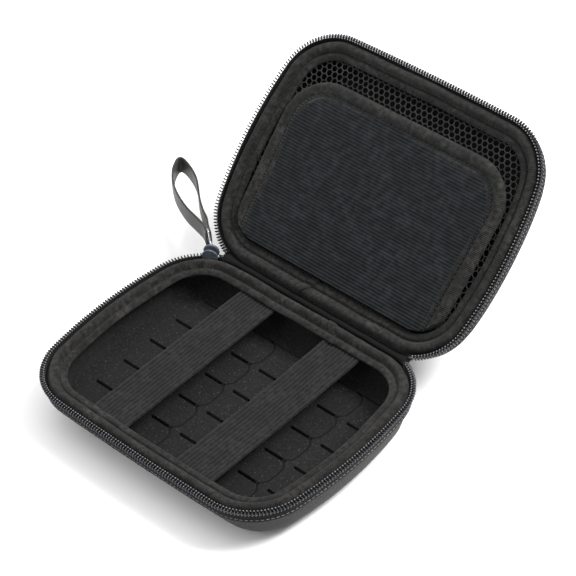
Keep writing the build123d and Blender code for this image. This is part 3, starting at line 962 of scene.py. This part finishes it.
def buildHem():
    columns = 60

    def placeOf(i, j):
        x = -78.0 + 156.0 * i / columns
        y = 40.5 + 6.2 * j / 6
        return (x, y, -5.75 + 0.2 * math.sin(x * 1.1) * math.sin(math.pi * j / 6))

    bm = clothGrid(columns, 6, placeOf, lambda i, j: (i * 2.6, j))
    for face in bm.faces:
        if face.normal.z < 0:
            face.normal_flip()
    piece = finishPiece(bm, "netHem", toLid, "lid", elasticCloth, ["lid_net_hem"])
    layer = piece.modifiers.new("layer", "SOLIDIFY")
    layer.thickness = 0.8 * mm
    layer.offset = -1


buildHem()
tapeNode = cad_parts["panel_hinge_tape"]
tapeNode.data.materials.clear()
tapeNode.data.materials.append(liningFabric)
print("net pocket made")

# fabric spine
spineForm = {"thick": 0.6, "low": -14.0, "inset": 1.75, "endAngle": 112.5, "cornerSteps": 12}


def buildSpine():
    # a bonded strip from the base's rear wall to the lid's, wrapped a little round the ends
    form = spineForm
    radius = casePlan["corner"] - form["inset"]
    corner = arcPoints(
        (-cornerX, cornerY), radius, math.radians(form["endAngle"]), math.pi / 2,
        form["cornerSteps"])
    run = corner + [(cornerX * (k / 18 - 1), cornerY + radius) for k in range(18)]
    run += [(0.0, cornerY + radius)]
    run += [(-x, y) for x, y in reversed(run[:-1])]
    heights = [form["low"] + 9.0 * k / 8 for k in range(9)] + [-4.0, -3.1]
    routes = []
    for x, y in run:
        sideX = max(abs(x) - cornerX, 0) / radius
        leg = []
        for z in heights:
            sink = casePlan["leanY"] * max(-5.0 - z, 0)
            leg.append(Vector((x - math.copysign(sink * sideX, x), y - sink, z)))
        baseLeg = [toBase @ v for v in leg]
        lidLeg = [toLid @ v for v in leg]
        fold = (baseLeg[-1] + lidLeg[-1]) / 2 + Vector((0, 0, 0.6))
        routes.append(baseLeg + [fold] + lidLeg[::-1])
    lengths = runLengths(run)
    across = runLengths([(v.y, v.z) for v in routes[len(run) // 2]])

    def placeOf(i, j):
        spot = routes[i][j]
        return (spot.x, spot.y, spot.z + 0.1 * math.sin(spot.x * 0.4))

    bm = clothGrid(len(run) - 1, len(across) - 1, placeOf, lambda i, j: (lengths[i], across[j]))
    bmesh.ops.recalc_face_normals(bm, faces=bm.faces)
    if sum(face.normal.z for face in bm.faces) > 0:
        bmesh.ops.reverse_faces(bm, faces=bm.faces)
    piece = finishPiece(bm, "hingeSpine", None, None, spineCloth,
                        ["hinge_spine"])
    layer = piece.modifiers.new("layer", "SOLIDIFY")
    layer.thickness = form["thick"] * mm
    layer.offset = 0
    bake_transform(piece)


buildSpine()
print("spine made")

# slider, ring and ribbon
sliderForm = {
    "angle": 122.0, "bailRadius": 36.9, "plateRadius": 4.5,
    "plates": ((35.15, 1.3, 0.6), (30.75, 1.0, 0.45)), "bailHalfGap": 1.9,
}


def buildSlider():
    bm = bmesh.new()

    def block(lowR, highR, halfLong, halfTall, bevel, taper=1.0, shift=0.0):
        made = bmesh.ops.create_cube(bm, size=1)["verts"]
        bmesh.ops.scale(bm, vec=(highR - lowR, 2 * halfLong, 2 * halfTall), verts=made)
        for vert in made:
            if vert.co.y < 0:
                vert.co.z *= taper
        bmesh.ops.translate(bm, vec=((lowR + highR) / 2, shift, 0), verts=made)
        edges = list({e for v in made for e in v.link_edges})
        bmesh.ops.bevel(
            bm, geom=edges, offset=bevel, offset_type="OFFSET", affect="EDGES", segments=3,
            profile=0.5, material=-1)

    def disc(middle, thick, bevel):
        made = bmesh.ops.create_cone(
            bm, cap_ends=True, segments=32, radius1=sliderForm["plateRadius"],
            radius2=sliderForm["plateRadius"], depth=thick)["verts"]
        bmesh.ops.rotate(bm, matrix=Matrix.Rotation(math.pi / 2, 3, "Y"), verts=made)
        bmesh.ops.translate(bm, vec=(middle, 0, 0), verts=made)
        rims = [e for e in {e for v in made for e in v.link_edges}
                if e.calc_face_angle(0) > 1]
        bmesh.ops.bevel(
            bm, geom=rims, offset=bevel, offset_type="OFFSET", affect="EDGES", segments=4,
            profile=0.5, material=-1)

    for middle, thick, bevel in sliderForm["plates"]:
        disc(middle, thick, bevel)
    block(31.0, 34.8, 1.4, 0.42, 0.15, shift=2.6)
    # the bail: an arch over the outer plate with the ring's hole through it
    for shift in (-sliderForm["bailHalfGap"], sliderForm["bailHalfGap"]):
        block(35.0, 36.9, 0.55, 1.4, 0.3, shift=shift)
    block(36.4, 38.0, 2.4, 1.5, 0.5)
    turn = Matrix.Rotation(math.radians(sliderForm["angle"]), 4, "Z")
    place = toBase @ Matrix.Translation((-cornerX, cornerY, 0)) @ turn
    finishPiece(bm, "zipSlider", place, "slider", sliderEnamel,
                ["zipper_slider"], smooth=False)


buildSlider()
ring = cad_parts["pull_ring"]
ring.data.materials.clear()
ring.data.materials.append(ringSteel)

# the ribbon's route seen along its width: distance out from the ring, and sideways
ribbonForm = {"width": 12.0, "thick": 0.95, "heading": 148.0, "rise": 8.0, "reach": 8.8}
ribbonRoute = [
    (-1.6, 1.3), (3.6, 1.1), (8.8, 3.0), (20.5, 8.0), (36.5, 10.4), (49.5, 8.0), (59.5, 0.4),
    (40.5, -4.6), (26.5, -2.0), (15.0, -1.2), (8.8, -2.2), (3.6, -1.3), (-1.6, -1.3)]


def ribbonPlane():
    heading, rise = math.radians(ribbonForm["heading"]), math.radians(ribbonForm["rise"])
    along = Vector((math.cos(rise) * math.cos(heading), math.cos(rise) * math.sin(heading),
                    math.sin(rise)))
    wide = Vector((-math.sin(rise) * math.cos(heading), -math.sin(rise) * math.sin(heading),
                   math.cos(rise)))
    angle = math.radians(sliderForm["angle"])
    pivot = Vector((-cornerX + sliderForm["bailRadius"] * math.cos(angle),
                    cornerY + sliderForm["bailRadius"] * math.sin(angle),
                    casePlan["baseHeight"]))
    return pivot, along, wide.cross(along), wide


def buildRibbon():
    pivot, along, sideways, wide = ribbonPlane()
    curve = bpy.data.curves.new("ribbonLine", "CURVE")
    curve.dimensions = "3D"
    curve.resolution_u = 10
    spline = curve.splines.new("NURBS")
    spline.points.add(len(ribbonRoute) - 1)
    for point, (out, side) in zip(spline.points, ribbonRoute):
        spot = pivot + along * (out + ribbonForm["reach"]) + sideways * side
        point.co = (*spot, 1)
    spline.order_u = 3
    spline.use_endpoint_u = True
    guide = bpy.data.objects.new("ribbonLine", curve)
    bpy.context.scene.collection.objects.link(guide)
    bpy.context.view_layer.update()
    line = [v.co.copy() for v in bpy.data.meshes.new_from_object(guide).vertices]
    bpy.data.objects.remove(guide)
    half, thick = ribbonForm["width"] / 2, ribbonForm["thick"] / 2
    columns = 16
    section = [(-half + 2 * half * k / columns, thick) for k in range(columns + 1)]
    section += [(half - 2 * half * k / columns, -thick) for k in range(columns + 1)]
    section.append(section[0])
    lengths = [0.0]
    for a, b in zip(line, line[1:]):
        lengths.append(lengths[-1] + (b - a).length)

    def placeOf(i, j):
        a, b = line[max(i - 1, 0)], line[min(i + 1, len(line) - 1)]
        out = (b - a).normalized().cross(wide)
        across, rise = section[j]
        curl = 0.25 * (across / half) ** 2
        return line[i] + wide * across + out * (rise + curl)

    bm = clothGrid(len(line) - 1, len(section) - 1, placeOf,
                   lambda i, j: (lengths[i], section[j][0]))
    bmesh.ops.remove_doubles(bm, verts=bm.verts, dist=1e-4)
    closeHoles(bm)
    piece = finishPiece(bm, "pullerRibbon", None, "pull", ribbonCloth,
                        ["puller_ribbon"])
    [v * mm for v in line[0]]
    [[v * mm for v in spot] for spot in line]
    print("ribbon length", round(lengths[-1], 1), "mm")


buildRibbon()

# floor, lights and camera
floorBuilder = bmesh.new()
bmesh.ops.create_grid(floorBuilder, x_segments=2, y_segments=2, size=4000)
floorMaterial, floorTree, floorShader = newMaterial("paleFloor", 0.9, 0.1)
floorTint = speckle(floorTree, objectSpot(floorTree), 3.0, 0.2, 0.8)
floorTree.links.new(
    mixOf(floorTree, floorTint, grey(0.93), grey(0.96)), floorShader.inputs["Base Color"])
floor = finishPiece(
    floorBuilder, "floor", Matrix.Translation((0, 0, -0.2)), None, floorMaterial)

lightRig = {
    "key": ((0.9, 0.7, 1.5), 0.7, 50.0),
    "fill": ((-0.9, -1.0, 1.3), 1.6, 9.0),
    "top": ((0.1, 0.1, 2.0), 1.8, 22.0),
}
for lightName, (spot, size, power) in lightRig.items():
    data = bpy.data.lights.new(lightName + "Light", "AREA")
    data.size = size
    data.energy = power
    lamp = bpy.data.objects.new(lightName + "Light", data)
    lamp.location = spot
    lamp.rotation_euler = (Vector((0, 0.05, 0)) - Vector(spot)).to_track_quat("-Z", "Y").to_euler()
    bpy.context.scene.collection.objects.link(lamp)
world = bpy.data.worlds.new("studio")
world.use_nodes = True
world.node_tree.nodes["Background"].inputs["Color"].default_value = (1, 1, 1, 1)
world.node_tree.nodes["Background"].inputs["Strength"].default_value = 0.6
bpy.context.scene.world = world
bpy.context.scene.view_settings.view_transform = "Standard"

cameraForm = {
    "spot": (0.6665, -0.5810, 0.8962), "lens": 151.9,
    "right": (0.71824, 0.68995, -0.09002), "up": (-0.44028, 0.55084, 0.70904),
    "back": (0.53879, -0.46962, 0.69940), "aside": 0.02568, "above": 0.03589,
}
right, up, back = (Vector(cameraForm[key]) for key in ("right", "up", "back"))
back = (back - right * cameraForm["aside"] - up * cameraForm["above"]).normalized()
right = up.cross(back).normalized()
up = back.cross(right)
cameraData = bpy.data.cameras.new("studioCamera")
cameraData.lens = cameraForm["lens"]
cameraData.sensor_width = 36.0
cameraData.clip_end = 20.0
camera = bpy.data.objects.new("studioCamera", cameraData)
camera.matrix_world = Matrix.Translation(cameraForm["spot"]) @ Matrix(
    (right, up, back)).transposed().to_4x4()
bpy.context.scene.collection.objects.link(camera)
bpy.context.scene.camera = camera
print("stage made")
